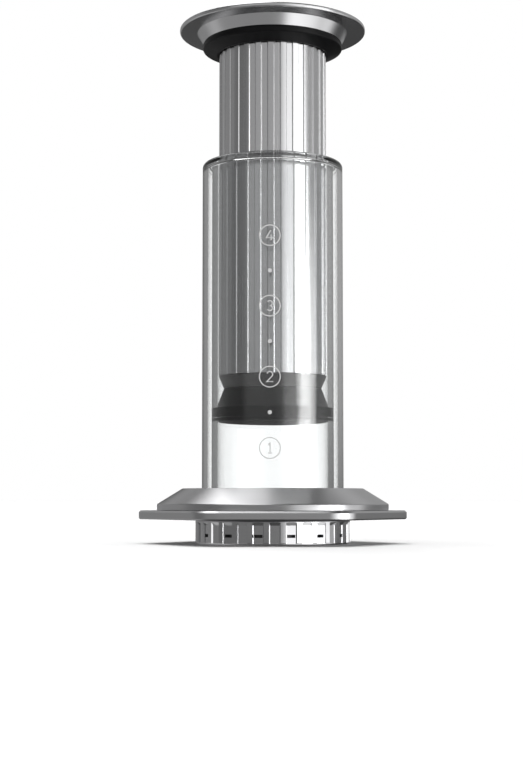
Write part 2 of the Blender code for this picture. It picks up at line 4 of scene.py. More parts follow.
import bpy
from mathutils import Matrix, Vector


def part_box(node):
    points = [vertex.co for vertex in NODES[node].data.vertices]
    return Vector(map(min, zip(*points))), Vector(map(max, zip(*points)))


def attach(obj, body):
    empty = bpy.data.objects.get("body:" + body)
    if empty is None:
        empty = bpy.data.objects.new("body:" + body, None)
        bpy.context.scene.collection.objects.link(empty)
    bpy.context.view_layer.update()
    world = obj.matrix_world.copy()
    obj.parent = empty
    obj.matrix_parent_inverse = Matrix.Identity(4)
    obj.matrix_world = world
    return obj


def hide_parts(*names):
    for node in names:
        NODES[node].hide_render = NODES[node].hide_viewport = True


bl_info = {
    "name": "Coffee press",
    "version": (1, 0, 0),
    "blender": (4, 5, 0),
    "location": "3D View > Sidebar > Press",
    "description": "Builds the finished pieces of a piston coffee press and a studio round them",
    "category": "Add Mesh",
}

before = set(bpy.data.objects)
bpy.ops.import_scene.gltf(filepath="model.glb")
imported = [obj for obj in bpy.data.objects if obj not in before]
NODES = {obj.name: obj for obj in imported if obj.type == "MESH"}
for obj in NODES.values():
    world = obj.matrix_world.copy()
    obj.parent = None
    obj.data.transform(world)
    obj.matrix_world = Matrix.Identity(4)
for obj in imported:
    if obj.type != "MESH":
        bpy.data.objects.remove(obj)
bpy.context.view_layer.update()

import math

import bmesh
import bpy
from bpy.props import FloatProperty, FloatVectorProperty, IntProperty, PointerProperty

MM = 0.001
TAU = 2 * math.pi

# How finely round shapes are drawn, the angle from which an edge stays sharp, and how near two
# points merge
ROUND = 192
FILLET_STEPS = 6
SHARP = math.radians(38)
MERGE = 0.001 * MM

# Clearances between pieces, and the rounding of an edge that looks sharp
FIT_GAP = 0.3 * MM
SEAT_GAP = 0.15 * MM
CRISP = 0.15 * MM


def low(node):
    """Lowest level of a frame piece."""
    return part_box(node)[0].z


def top(node):
    """Highest level of a frame piece."""
    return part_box(node)[1].z


def reach(node):
    """Outer radius of a round frame piece."""
    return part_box(node)[1].x


def size(name, description, default):
    """Length that shows in the sidebar, in metres."""
    return FloatProperty(
        name=name, description=description, default=default, min=0, unit="LENGTH", precision=5
    )


def colour(name, description, default):
    """Colour that shows in the sidebar."""
    return FloatVectorProperty(
        name=name, description=description, default=default, min=0, max=1, subtype="COLOR"
    )


class ChamberSizes(bpy.types.PropertyGroup):
    """Sizes of the glass chamber and of the scale printed on it."""

    bore: size("Bore", "Inner radius of the inner tube", 27.5 * MM)
    inner_wall: size("Inner wall", "Thickness of the inner tube", 2.75 * MM)
    space: size("Space", "Gap between the two tubes", 2.15 * MM)
    rim_fillet: size("Rim fillet", "Rounding of the rim's two edges", 2.4 * MM)
    rim_floor: size("Rim floor", "Glass above the space between the tubes", 2.8 * MM)
    ring_radius: size("Ring radius", "Outer radius of the ring round each number", 5.2 * MM)
    stroke: size("Stroke", "Width of the printed lines", 0.5 * MM)
    digit_height: size("Digit height", "Height of a printed number", 4.8 * MM)
    dot_radius: size("Dot radius", "Radius of the dots between the numbers", 1.0 * MM)
    first_mark: size("First mark", "Level of the number 1", 45.95 * MM)
    mark_pitch: size("Mark pitch", "Distance from one number to the next", 33.9 * MM)
    mark_shift: size("Mark shift", "Distance of the scale to the left of the middle", 1.6 * MM)


class FlangeSizes(bpy.types.PropertyGroup):
    """Sizes of the flange's cover and plate."""

    cover_top: size("Cover top", "Radius at the top of the cone", 44.6 * MM)
    band: size("Band", "Height of the upright band under the cone", 2.95 * MM)
    wall: size("Wall", "Thickness of the cover", 2.0 * MM)
    hub_wall: size("Hub wall", "Thickness of the hub round the glass", 2.6 * MM)
    plate_radius: size("Plate radius", "Distance to the plate's sharp corners", 68.6 * MM)
    plate_corner: size("Plate corner", "Rounding of the plate's corners", 16.0 * MM)
    chamfer: size("Chamfer", "Bevel of the plate's upper edge", 0.9 * MM)
    lower_chamfer: size("Lower chamfer", "Bevel of the plate's lower edge", 0.6 * MM)


class CapSizes(bpy.types.PropertyGroup):
    """Sizes of the filter cap."""

    ribs: IntProperty(name="Ribs", description="Number of ribs round the cap", default=30, min=6)
    rib_height: size("Rib height", "Height of the ribs over the recesses", 0.95 * MM)
    foot_fillet: size("Foot fillet", "Rounding of the foot's outer edge", 1.2 * MM)
    wall: size("Wall", "Thickness of the wall behind the recesses", 2.65 * MM)
    floor: size("Floor", "Thickness of the perforated floor", 2.0 * MM)
    slot_level: size("Slot level", "Lower edge of the drain slots", 3.6 * MM)
    slot_height: size("Slot height", "Height of the drain slots", 1.5 * MM)
    slot_width: size("Slot width", "Width of the drain slots", 4.0 * MM)
    hole: size("Hole", "Radius of the floor's holes", 1.3 * MM)
    hole_pitch: size("Hole pitch", "Distance between the floor's holes", 5.8 * MM)


class PlungerSizes(bpy.types.PropertyGroup):
    """Sizes of the plunger's pieces."""

    flutes: IntProperty(name="Flutes", description="Grooves round the tube", default=27, min=6)
    flute_depth: size("Flute depth", "Depth of the grooves", 0.5 * MM)
    flute_wall: size("Flute wall", "Width of a groove's sloping wall", 0.5 * MM)
    tube_wall: size("Tube wall", "Thickness of the tube", 2.5 * MM)
    dish: size("Dish", "Radius of the shallow dish in the push plate", 38.0 * MM)
    dish_depth: size("Dish depth", "Depth of that dish", 1.2 * MM)
    disc_thickness: size("Disc thickness", "Thickness of the push plate", 2.2 * MM)
    hub_step: size("Hub step", "Distance of the hub inside the bumper's edge", 0.4 * MM)
    hub_flare: size("Hub flare", "How far the hub widens under the push plate", 3.1 * MM)
    bumper_drop: size("Bumper drop", "Height of the bumper's coned underside", 2.8 * MM)
    seal_band: size("Seal band", "Height of the band that wipes the glass", 8.1 * MM)
    waist: size("Waist", "Depth of the waist between seal and collar", 3.3 * MM)
    collar: size("Collar", "Height of the collar over the seal", 5.9 * MM)


class Finishes(bpy.types.PropertyGroup):
    """Colours of the press and of the studio."""

    aluminium: colour("Aluminium", "Plunger's tube and push plate", (0.78, 0.78, 0.79))
    steel: colour("Steel", "Flange and filter cap", (0.7, 0.7, 0.71))
    rubber: colour("Rubber", "Seal and the tube's sealing rings", (0.007, 0.007, 0.0075))
    silicone: colour("Silicone", "Bumper ring", (0.005, 0.005, 0.0055))
    collar: colour("Collar", "Seal holder", (0.085, 0.085, 0.085))
    polymer: colour("Polymer", "Lock ring and cap liner", (0.02, 0.02, 0.021))
    gasket: colour("Gasket", "Silicone gaskets under and round the glass", (0.6, 0.6, 0.6))
    paper: colour("Paper", "Filter paper", (0.88, 0.86, 0.8))
    ink: colour("Ink", "Printed scale", (0.66, 0.66, 0.66))
    glass: colour("Glass", "Tint of the glass", (0.985, 0.99, 0.99))
    floor: colour("Floor", "Studio floor", (0.9, 0.9, 0.9))


GROUPS = {
    "press_chamber": ChamberSizes,
    "press_flange": FlangeSizes,
    "press_cap": CapSizes,
    "press_plunger": PlungerSizes,
    "press_finishes": Finishes,
}


# Outlines


def filleted(corners, closed=True, steps=FILLET_STEPS):
    """Points of an outline given as (x, y, fillet radius) corners, each fillet an arc."""
    points = []
    for index, (x, y, radius) in enumerate(corners):
        if radius == 0 or (not closed and index in (0, len(corners) - 1)):
            points.append((x, y))
            continue
        before, after = corners[index - 1], corners[(index + 1) % len(corners)]
        back = math.atan2(before[1] - y, before[0] - x)
        ahead = math.atan2(after[1] - y, after[0] - x)
        half = (ahead - back + math.pi) % TAU / 2 - math.pi / 2
        far = radius / abs(math.sin(half))
        centre_x = x + far * math.cos(back + half)
        centre_y = y + far * math.sin(back + half)
        turn = (math.pi / 2 - abs(half)) * math.copysign(1, half)
        for step in range(steps + 1):
            angle = back + half + math.pi + turn - 2 * turn * step / steps
            points.append((centre_x + radius * math.cos(angle), centre_y + radius * math.sin(angle)))
    return points


def polar(radius, turn):
    """Point at an angle to the right of the front, which is -Y."""
    return (radius * math.sin(turn), -radius * math.cos(turn))


def arc(centre, radius, start, end, steps):
    """Points along an arc, its angles in degrees from +X."""
    points = []
    for step in range(steps + 1):
        angle = math.radians(start + (end - start) * step / steps)
        points.append((centre[0] + radius * math.cos(angle), centre[1] + radius * math.sin(angle)))
    return points


def circle(radius, count):
    """Even points round a circle."""
    return arc((0, 0), radius, 0, 360 * (count - 1) / count, count - 1)


def section(radius, turn, half, lower, upper):
    """Four corners of an upright section that faces outwards, half its width to each side."""
    x, y = polar(radius, turn)
    left = (x - half * math.cos(turn), y - half * math.sin(turn))
    right = (x + half * math.cos(turn), y + half * math.sin(turn))
    return [(*left, lower), (*right, lower), (*right, upper), (*left, upper)]


# Meshes


def linked(name, data):
    """New object in the scene."""
    made = bpy.data.objects.new(name, data)
    bpy.context.scene.collection.objects.link(made)
    return made


def mesh_object(name, shape):
    """Object of a mesh in the making, which ends there."""
    mesh = bpy.data.meshes.new(name)
    shape.to_mesh(mesh)
    shape.free()
    return linked(name, mesh)


def piece(name, shape, body, slot, finish, *nodes, sharp=SHARP):
    """Object of a finished mesh, riding on its body in place of the frame's nodes."""
    bmesh.ops.remove_doubles(shape, verts=shape.verts, dist=MERGE)
    bmesh.ops.recalc_face_normals(shape, faces=shape.faces)
    made = mesh_object(name, shape)
    made.data.shade_smooth()
    made.data.set_sharp_from_angle(angle=sharp)
    made.data.materials.append(finish)
    made.modifiers.new("Even normals", "WEIGHTED_NORMAL").keep_sharp = True
    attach(made, body)
    if nodes:
        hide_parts(*nodes)


def loft(rings, closed=False):
    """Mesh through rings of equally many points. A ring of one point closes an end."""
    shape = bmesh.new()
    rows = [[shape.verts.new(point) for point in ring] for ring in rings]
    if closed:
        rows.append(rows[0])
    for upper, lower in zip(rows, rows[1:]):
        count = max(len(upper), len(lower))
        for index in range(count):
            after = (index + 1) % count
            face = []
            for row, place in ((upper, index), (lower, index), (lower, after), (upper, after)):
                corner = row[place % len(row)]
                if corner not in face:
                    face.append(corner)
            shape.faces.new(face)
    return shape


def turned(corners, level=0.0, closed=True, around=ROUND, steps=FILLET_STEPS):
    """Body of revolution from (radius, height, fillet radius) corners. Open ends lie on the axis."""
    rings = []
    for radius, height in filleted(corners, closed, steps):
        if radius == 0:
            rings.append([(0, 0, level + height)])
            continue
        points = [polar(radius, TAU * step / around) for step in range(around)]
        rings.append([(x, y, level + height) for x, y in points])
    return loft(rings, closed)


def walls(shape, one, two):
    """Side faces between two rows of equally many corners."""
    for index in range(len(one)):
        after = (index + 1) % len(one)
        shape.faces.new((one[index], two[index], two[after], one[after]))


def block(shape, stations):
    """Closed block through two or more sections of equally many corners."""
    rows = [[shape.verts.new(corner) for corner in station] for station in stations]
    shape.faces.new(rows[0])
    shape.faces.new(rows[-1])
    for one, two in zip(rows, rows[1:]):
        walls(shape, one, two)


def working_object(name, shape):
    """Object of a mesh that cuts or is cut, deleted once that is done."""
    bmesh.ops.recalc_face_normals(shape, faces=shape.faces)
    return mesh_object(name, shape)


def cut_shape(shape, cutters):
    """Mesh less its cutters."""
    body = working_object("uncut", shape)
    for cutter in cutters:
        step = body.modifiers.new("Cut", "BOOLEAN")
        step.operation = "DIFFERENCE"
        step.object = cutter
    bpy.context.view_layer.update()
    graph = bpy.context.evaluated_depsgraph_get()
    mesh = bpy.data.meshes.new_from_object(body.evaluated_get(graph))
    for spent in [body, *cutters]:
        bpy.data.objects.remove(spent)
    made = bmesh.new()
    made.from_mesh(mesh)
    bpy.data.meshes.remove(mesh)
    return made


# Finishes


# Places of a mix node's sockets, whose names aren't unique
FLOAT_A, FLOAT_B, COLOUR_A, COLOUR_B = 2, 3, 6, 7
COLOUR_RESULT = 2

# Nearest to the axis that lathe grain still turns with it
AXIS_LIMIT = 0.1 * MM

# Shader sockets that the finishes set by keyword
SOCKETS = {
    "metallic": "Metallic",
    "roughness": "Roughness",
    "anisotropic": "Anisotropic",
    "anisotropic_rotation": "Anisotropic Rotation",
    "transmission_weight": "Transmission Weight",
    "specular_ior_level": "Specular IOR Level",
    "ior": "IOR",
}


class Tree:
    """Node tree of a material or a world, filled in short calls."""

    def __init__(self, owner):
        owner.use_nodes = True
        self.tree = owner.node_tree

    def join(self, socket, value):
        """Links a socket to an output, or sets it."""
        if isinstance(value, bpy.types.NodeSocket):
            self.tree.links.new(value, socket)
        else:
            socket.default_value = value

    def node(self, kind, inputs=None, **settings):
        """Outputs of a new node, its settings made and its inputs linked or set."""
        made = self.tree.nodes.new("ShaderNode" + kind)
        for name, value in settings.items():
            setattr(made, name, value)
        for label, value in (inputs or {}).items():
            self.join(made.inputs[label], value)
        return made.outputs

    def math(self, operation, *values):
        """Output of a math node."""
        return self.node("Math", dict(enumerate(values)), operation=operation)[0]


class Surface(Tree):
    """Node material: a shader with the nodes that drive it."""

    def __init__(self, name, tint, **inputs):
        self.material = bpy.data.materials.new(name)
        super().__init__(self.material)
        self.shader = self.tree.nodes["Principled BSDF"]
        self.set("Base Color", (*tint, 1.0))
        for label, value in inputs.items():
            self.set(SOCKETS[label], value)

    def set(self, label, value):
        """Constant or link on one of the shader's sockets."""
        self.join(self.shader.inputs[label], value)

    def place(self):
        """Place on the piece, in metres from the frame's origin."""
        return self.node("TexCoord")["Object"]

    def noise(self, scale, detail=2.0, vector=None, w=None):
        """Noise between 0 and 1, in space unless a vector is given."""
        if vector is None:
            vector = self.place()
        inputs = {"Vector": vector, "Scale": scale, "Detail": detail}
        if w is None:
            return self.node("TexNoise", inputs)[0]
        return self.node("TexNoise", {**inputs, "W": w}, noise_dimensions="4D")[0]

    def stretched(self, scales):
        """Place with each axis scaled, for grain along one of them."""
        return self.node("Mapping", {"Vector": self.place(), "Scale": scales})[0]

    def round_grain(self, scale, spread):
        """Noise in fine rings round the Z axis, as a lathe leaves."""
        x, y, z = self.node("SeparateXYZ", {0: self.place()})
        both = self.math("ADD", self.math("MULTIPLY", x, x), self.math("MULTIPLY", y, y))
        far = self.math("SQRT", both)
        safe = self.math("MAXIMUM", far, AXIS_LIMIT)
        turn = [self.math("MULTIPLY", self.math("DIVIDE", value, safe), spread) for value in (x, y)]
        level = self.math("MULTIPLY", z, scale)
        vector = self.node("CombineXYZ", dict(enumerate((*turn, level))))[0]
        rings = self.math("MULTIPLY", far, scale)
        return self.noise(scale=1.0, detail=3.0, vector=vector, w=rings)

    def bump(self, height, depth, strength=1.0):
        """Bump from a height between 0 and 1."""
        inputs = {"Strength": strength, "Distance": depth, "Height": height}
        self.set("Normal", self.node("Bump", inputs)[0])

    def roughness(self, value, least, most):
        """Roughness that wanders within a range as a value goes from 0 to 1."""
        inputs = {"Value": value, "To Min": least, "To Max": most}
        self.set("Roughness", self.node("MapRange", inputs)[0])

    def shades(self, value, dark, light):
        """Base colour between two shades of the same colour."""
        own = self.shader.inputs["Base Color"].default_value[:3]
        inputs = {
            "Factor": value,
            COLOUR_A: (*(channel * dark for channel in own), 1.0),
            COLOUR_B: (*(min(channel * light, 1) for channel in own), 1.0),
        }
        self.set("Base Color", self.node("Mix", inputs, data_type="RGBA")[COLOUR_RESULT])


def turned_metal(name, tint, roughness, **inputs):
    """Satin metal with the fine rings of a lathe."""
    made = Surface(name, tint, metallic=1.0, roughness=roughness, **inputs)
    rings = made.round_grain(scale=4200.0, spread=1.6)
    made.bump(rings, depth=0.0007 * MM)
    made.roughness(rings, least=roughness - 0.03, most=roughness + 0.03)
    made.shades(rings, dark=0.97, light=1.02)
    made.set("Tangent", made.node("Tangent", direction_type="RADIAL", axis="Z")[0])
    return made.material


def drawn_metal(name, tint, roughness):
    """Satin extruded metal with fine streaks along Z."""
    made = Surface(name, tint, metallic=1.0, roughness=roughness)
    streaks = made.noise(scale=1500.0, detail=3.0, vector=made.stretched(scales=(1, 1, 0.01)))
    made.bump(streaks, depth=0.003 * MM)
    made.roughness(streaks, least=roughness - 0.06, most=roughness + 0.06)
    made.shades(streaks, dark=0.94, light=1.04)
    return made.material


def blasted_metal(name, tint, roughness):
    """Satin metal with a fine even grain."""
    made = Surface(name, tint, metallic=1.0, roughness=roughness)
    grain = made.noise(scale=5200.0)
    made.bump(grain, depth=0.0015 * MM)
    made.roughness(made.noise(scale=240.0), least=roughness - 0.03, most=roughness + 0.03)
    made.shades(grain, dark=0.95, light=1.04)
    return made.material


def moulded(name, tint, roughness, **inputs):
    """Moulded rubber or plastic with a faint texture and uneven gloss."""
    made = Surface(name, tint, roughness=roughness, **inputs)
    made.bump(made.noise(scale=3000.0, detail=3.0), depth=0.006 * MM)
    clouds = made.noise(scale=160.0, detail=3.0)
    made.roughness(clouds, least=roughness - 0.05, most=roughness + 0.07)
    made.shades(clouds, dark=0.9, light=1.1)
    return made.material


def clear_glass(name, tint):
    """Fire polished glass with a barely uneven surface."""
    made = Surface(name, tint, roughness=0.0, transmission_weight=1.0, ior=1.47)
    made.bump(made.noise(scale=35.0, detail=1.0), depth=0.01 * MM, strength=0.5)
    return made.material


def printed_ink(name, tint):
    """Fired white enamel, a little uneven in gloss."""
    made = Surface(name, tint, roughness=0.5)
    speckle = made.noise(scale=2500.0)
    made.roughness(speckle, least=0.4, most=0.6)
    made.shades(speckle, dark=0.95, light=1.05)
    return made.material


def fibrous(name, tint):
    """Filter paper with pressed fibres."""
    made = Surface(name, tint, roughness=0.9)
    fibres = made.noise(scale=900.0, detail=5.0)
    made.bump(fibres, depth=0.03 * MM)
    made.shades(fibres, dark=0.93, light=1.03)
    return made.material


# Pieces


# Shares of the space between the tubes that round its closed end: at the outer tube, at the inner
SPACE_ROUND_SHARE = 0.85
SPACE_BREAK_SHARE = 0.1
RIM_STEPS = 10


class PRESS_OT_glass(bpy.types.Operator):
    """Double-walled glass tube, fused at its rounded rim and open at the foot"""

    bl_idname = "press.glass"
    bl_label = "Glass chamber"

    def execute(self, context):
        sizes = context.scene.press_chamber
        foot = low("glass_chamber")
        height = top("glass_chamber") - foot
        outer = reach("glass_chamber")
        inner_tube = sizes.bore + sizes.inner_wall
        outer_bore = inner_tube + sizes.space
        space_top = height - sizes.rim_floor
        corners = [
            (sizes.bore, height, sizes.rim_fillet),
            (outer, height, sizes.rim_fillet),
            (outer, 0, 0),
            (outer_bore, 0, 0),
            (outer_bore, space_top, sizes.space * SPACE_ROUND_SHARE),
            (inner_tube, space_top, sizes.space * SPACE_BREAK_SHARE),
            (inner_tube, 0, 0),
            (sizes.bore, 0, 0),
        ]
        shape = turned(corners, foot, steps=RIM_STEPS)
        finish = clear_glass("glass", context.scene.press_finishes.glass)
        piece("glass_tube", shape, "chamber", "glass", finish, "glass_chamber")
        return {"FINISHED"}


# Print's lift off the glass, its thickness, and how far a dot's band fills the dot
INK_LIFT = 0.005 * MM
INK_THICKNESS = 0.025 * MM
DOT_FILL_SHARE = 0.98
NUMBERS = 4
RING_POINTS = 60
DOT_POINTS = 24
DIGIT_STEPS = 12

# Strokes of the plain numbers, as shares of their height
DIGIT_STROKES = {
    "1": [[(-0.17, 0.3), (0.02, 0.5), (0.02, -0.5)], [(-0.19, -0.5), (0.23, -0.5)]],
    "2": [arc((0.0, 0.22), 0.28, 165, -40, DIGIT_STEPS) + [(-0.3, -0.5), (0.33, -0.5)]],
    "3": [
        arc((0.0, 0.25), 0.25, 150, -90, DIGIT_STEPS),
        arc((0.0, -0.24), 0.26, 90, -150, DIGIT_STEPS),
    ],
    "4": [[(0.34, -0.24), (-0.34, -0.24), (0.1, 0.5)], [(0.13, 0.06), (0.13, -0.5)]],
}


def ribbon(shape, path, width, wrap, closed=False):
    """Strip of even width along a flat path, wrapped on the glass as a thin solid."""
    count = len(path)
    rows = []
    for index, (x, y) in enumerate(path):
        before = path[index - 1] if closed or index else path[0]
        after = path[(index + 1) % count] if closed or index < count - 1 else path[-1]
        into = math.atan2(y - before[1], x - before[0]) if (x, y) != before else None
        out = math.atan2(after[1] - y, after[0] - x) if after != (x, y) else into
        into = out if into is None else into
        bend = (out - into + math.pi) % TAU - math.pi
        side = into + bend / 2 + math.pi / 2
        half = width / 2 / math.cos(bend / 2)
        near = (x + half * math.cos(side), y + half * math.sin(side))
        far = (x - half * math.cos(side), y - half * math.sin(side))
        places = ((*near, 0), (*far, 0), (*far, 1), (*near, 1))
        rows.append([shape.verts.new(wrap(*place)) for place in places])
    if closed:
        rows.append(rows[0])
    else:
        shape.faces.new(rows[0])
        shape.faces.new(rows[-1])
    for one, two in zip(rows, rows[1:]):
        walls(shape, one, two)


class PRESS_OT_scale(bpy.types.Operator):
    """Printed scale: plain numbers in rings, with dots between them"""

    bl_idname = "press.scale"
    bl_label = "Printed scale"

    def execute(self, context):
        sizes = context.scene.press_chamber
        glass = reach("glass_chamber")
        level = 0.0

        def wrap(x, y, layer):
            radius = glass + INK_LIFT + INK_THICKNESS * layer
            across, ahead = polar(radius, (x - sizes.mark_shift) / glass)
            return (across, ahead, level + y)

        shape = bmesh.new()
        middle = sizes.ring_radius - sizes.stroke / 2
        for number in range(1, NUMBERS + 1):
            level = sizes.first_mark + sizes.mark_pitch * (number - 1)
            ribbon(shape, circle(middle, RING_POINTS), sizes.stroke, wrap, closed=True)
            for stroke in DIGIT_STROKES[str(number)]:
                path = [(x * sizes.digit_height, y * sizes.digit_height) for x, y in stroke]
                ribbon(shape, path, sizes.stroke, wrap)
            if number < NUMBERS:
                level += sizes.mark_pitch / 2
                dot = circle(sizes.dot_radius / 2, DOT_POINTS)
                ribbon(shape, dot, sizes.dot_radius * DOT_FILL_SHARE, wrap, closed=True)
        finish = printed_ink("ink", context.scene.press_finishes.ink)
        piece("scale_marks", shape, "chamber", "glass", finish)
        return {"FINISHED"}


# Roundings of the cover's hole and cone
COVER_HOLE_EDGE = 0.3 * MM
CONE_EDGE = 0.8 * MM


class PRESS_OT_cover(bpy.types.Operator):
    """Conical steel shell over the plate, with a hub round the glass"""

    bl_idname = "press.cover"
    bl_label = "Flange cover"

    def execute(self, context):
        sizes = context.scene.press_flange
        foot = low("flange_cover")
        height = top("flange_cover") - foot
        outer = reach("flange_cover")
        hole = reach("glass_chamber") + FIT_GAP
        hub = hole + sizes.hub_wall
        slope = math.atan2(height - sizes.band, outer - sizes.cover_top)
        skirt = outer - sizes.wall
        skirt_top = sizes.band + sizes.wall * math.tan(slope) - sizes.wall / math.cos(slope)
        roof = height - sizes.wall
        corners = [
            (hole, height, COVER_HOLE_EDGE),
            (sizes.cover_top, height, CONE_EDGE),
            (outer, sizes.band, CONE_EDGE),
            (outer, 0, CRISP),
            (skirt, 0, 0),
            (skirt, skirt_top, 0),
            (sizes.cover_top - sizes.wall * math.tan(slope / 2), roof, 0),
            (hub, roof, 0),
            (hub, 0, 0),
            (hole, 0, 0),
        ]
        shape = turned(corners, foot, around=2 * ROUND)
        finish = turned_metal(
            "cover_steel",
            context.scene.press_finishes.steel,
            roughness=0.33,
            anisotropic=0.75,
            anisotropic_rotation=0.25,
        )
        piece("cover", shape, "chamber", "flange_steel", finish, "flange_cover")
        return {"FINISHED"}


# Plate's seat for the glass: its level over the plate's foot, and how far it reaches in
GLASS_SEAT = 1.95 * MM
GLASS_LEDGE = 1.7 * MM

# Hollow under the plate, over the filter cap's rim
RELIEF_DEPTH = 0.4 * MM
RELIEF_PLAY = 0.6 * MM

# Flat strip inside the plate's two chamfers
CHAMFER_MARGIN = 1.0 * MM


def hexagon(radius, corner, inset, steps=16, flats=8):
    """Rounded hexagon with a flat towards the front, moved in by an inset."""
    apothem = radius * math.cos(math.pi / 6)
    centre = radius - corner / math.cos(math.pi / 6)
    points = []
    for index in range(6):
        middle = math.pi / 6 + math.pi / 3 * index
        start = polar(centre, middle)
        for step in range(steps + 1):
            turn = middle + math.pi / 3 * (step / steps - 1 / 2)
            x, y = polar(corner - inset, turn)
            points.append((start[0] + x, start[1] + y))
        after = polar(centre, middle + math.pi / 3)
        x, y = polar(apothem - centre * math.cos(math.pi / 6) - inset, middle + math.pi / 6)
        for step in range(1, flats):
            share = step / flats
            flat_x = start[0] + (after[0] - start[0]) * share + x
            flat_y = start[1] + (after[1] - start[1]) * share + y
            points.append((flat_x, flat_y))
    return points


class PRESS_OT_plate(bpy.types.Operator):
    """Hexagonal steel plate with rounded corners, under the cover"""

    bl_idname = "press.plate"
    bl_label = "Flange plate"

    def execute(self, context):
        sizes = context.scene.press_flange
        foot, head = low("flange_plate"), top("flange_plate")
        hole = reach("lock_ring") + FIT_GAP
        relief = reach("filter_cap") + RELIEF_PLAY
        bore = reach("glass_chamber") - GLASS_LEDGE
        seat = foot + GLASS_SEAT
        ceiling = foot + RELIEF_DEPTH
        corners = [
            (sizes.chamfer + CHAMFER_MARGIN, head, 0),
            (sizes.chamfer, head, CRISP),
            (0, head - sizes.chamfer, CRISP),
            (0, foot + sizes.lower_chamfer, CRISP),
            (sizes.lower_chamfer, foot, CRISP),
            (sizes.lower_chamfer + CHAMFER_MARGIN, foot, 0),
        ]
        outlines = filleted(corners, closed=False)
        rings = []
        for inset, z in outlines:
            outline = hexagon(sizes.plate_radius, sizes.plate_corner, inset)
            rings.append([(x, y, z) for x, y in outline])
        turns = [math.atan2(x, -y) for x, y, z in rings[0]]
        for radius, z in (
            (relief, foot),
            (relief, ceiling),
            (hole, ceiling),
            (hole, seat),
            (bore, seat),
            (bore, head),
        ):
            rings.append([(*polar(radius, turn), z) for turn in turns])
        shape = loft(rings, closed=True)
        finish = blasted_metal("plate_steel", context.scene.press_finishes.steel, roughness=0.3)
        piece("plate", shape, "chamber", "flange_steel", finish, "flange_plate")
        return {"FINISHED"}


# How far the cap's foot ring reaches in past the bore, and the depth of the hollow inside it
FOOT_REACH = 3.4 * MM
FOOT_HOLLOW = 0.6 * MM

# Recesses between the ribs: their share of the pitch, how far their sides open and their head
# rises over a rib's height, the metal left over and under them, and the turn of the first
RECESS_SHARE = 0.58
RECESS_DRAFT = 0.5 * MM
RECESS_SLANT = 1.5 * MM
RECESS_HEADROOM = 0.7 * MM
RECESS_FOOT = 0.8 * MM
FIRST_RECESS = math.radians(1.1)
STEPS_PER_RIB = 10

# Roundings of the cap
CAP_FLOOR_CORNER = 0.4 * MM
CAP_MOUTH_INSIDE = 0.2 * MM
CAP_MOUTH_OUTSIDE = 0.6 * MM
CAP_FOOT_INSIDE = 0.3 * MM
CAP_HOLLOW_CORNER = 0.2 * MM
CAP_SHARP = math.radians(26)

# How far cutters reach past the wall and the floor
PAST_WALL = 5.0 * MM
PAST_FLOOR = 1.0 * MM
HOLE_POINTS = 24


class PRESS_OT_filter_cap(bpy.types.Operator):
    """Ribbed steel cap with drain slots and a perforated floor"""

    bl_idname = "press.filter_cap"
    bl_label = "Filter cap"

    def execute(self, context):
        sizes = context.scene.press_cap
        outer = reach("filter_cap")
        height = top("filter_cap")
        recess = outer - sizes.rib_height
        bore = recess - sizes.wall
        foot_bore = bore - FOOT_REACH
        corners = [
            (0, sizes.floor, 0),
            (bore, sizes.floor, CAP_FLOOR_CORNER),
            (bore, height, CAP_MOUTH_INSIDE),
            (outer, height, CAP_MOUTH_OUTSIDE),
            (outer, 0, sizes.foot_fillet),
            (foot_bore, 0, CAP_FOOT_INSIDE),
            (foot_bore, FOOT_HOLLOW, CAP_HOLLOW_CORNER),
            (0, FOOT_HOLLOW, 0),
        ]
        shape = turned(corners, closed=False, around=STEPS_PER_RIB * sizes.ribs)
        pitch = TAU / sizes.ribs
        far = outer + PAST_WALL
        half = recess * pitch * RECESS_SHARE / 2
        recesses, slots, holes = bmesh.new(), bmesh.new(), bmesh.new()
        for index in range(sizes.ribs):
            turn = FIRST_RECESS + pitch * index
            self.recess(recesses, turn, recess, far, half, height, sizes.rib_height)
            if index % 2:
                self.slot(slots, turn, bore - PAST_WALL, far, sizes)
        for x, y in self.hole_centres(sizes.hole_pitch):
            ring = [(x + across, y + ahead) for across, ahead in circle(sizes.hole, HOLE_POINTS)]
            ends = (-PAST_FLOOR, sizes.floor + PAST_FLOOR)
            block(holes, [[(*point, level) for point in ring] for level in ends])
        cutters = [
            working_object(name, mesh)
            for name, mesh in (("recesses", recesses), ("slots", slots), ("holes", holes))
        ]
        shape = cut_shape(shape, cutters)
        steel = context.scene.press_finishes.steel
        finish = blasted_metal("cap_steel", steel, roughness=0.17)
        piece(
            "filter_cap_shell", shape, "filter_end", "cap_steel", finish, "filter_cap", sharp=CAP_SHARP
        )
        return {"FINISHED"}

    @staticmethod
    def recess(shape, turn, near, far, half, height, depth):
        """Recess between two ribs, with slanting sides and a sloping head."""
        head = height - RECESS_HEADROOM - RECESS_SLANT
        stations = []
        for radius in (near, far):
            rise = (radius - near) / depth
            wide = half + RECESS_DRAFT * rise
            stations.append(section(radius, turn, wide, RECESS_FOOT, head + RECESS_SLANT * rise))
        block(shape, stations)

    @staticmethod
    def slot(shape, turn, near, far, sizes):
        """Straight drain slot through the wall."""
        half = sizes.slot_width / 2
        upper = sizes.slot_level + sizes.slot_height
        ends = [section(radius, turn, half, sizes.slot_level, upper) for radius in (near, far)]
        block(shape, ends)

    @staticmethod
    def hole_centres(pitch, rings=4):
        """One hole in the middle and hexagonal rings of holes round it."""
        centres = [(0, 0)]
        for number in range(1, rings + 1):
            for side in range(6):
                start = polar(pitch * number, math.pi / 3 * side)
                end = polar(pitch * number, math.pi / 3 * (side + 1))
                for step in range(number):
                    share = step / number
                    x = start[0] + (end[0] - start[0]) * share
                    y = start[1] + (end[1] - start[1]) * share
                    centres.append((x, y))
        return centres


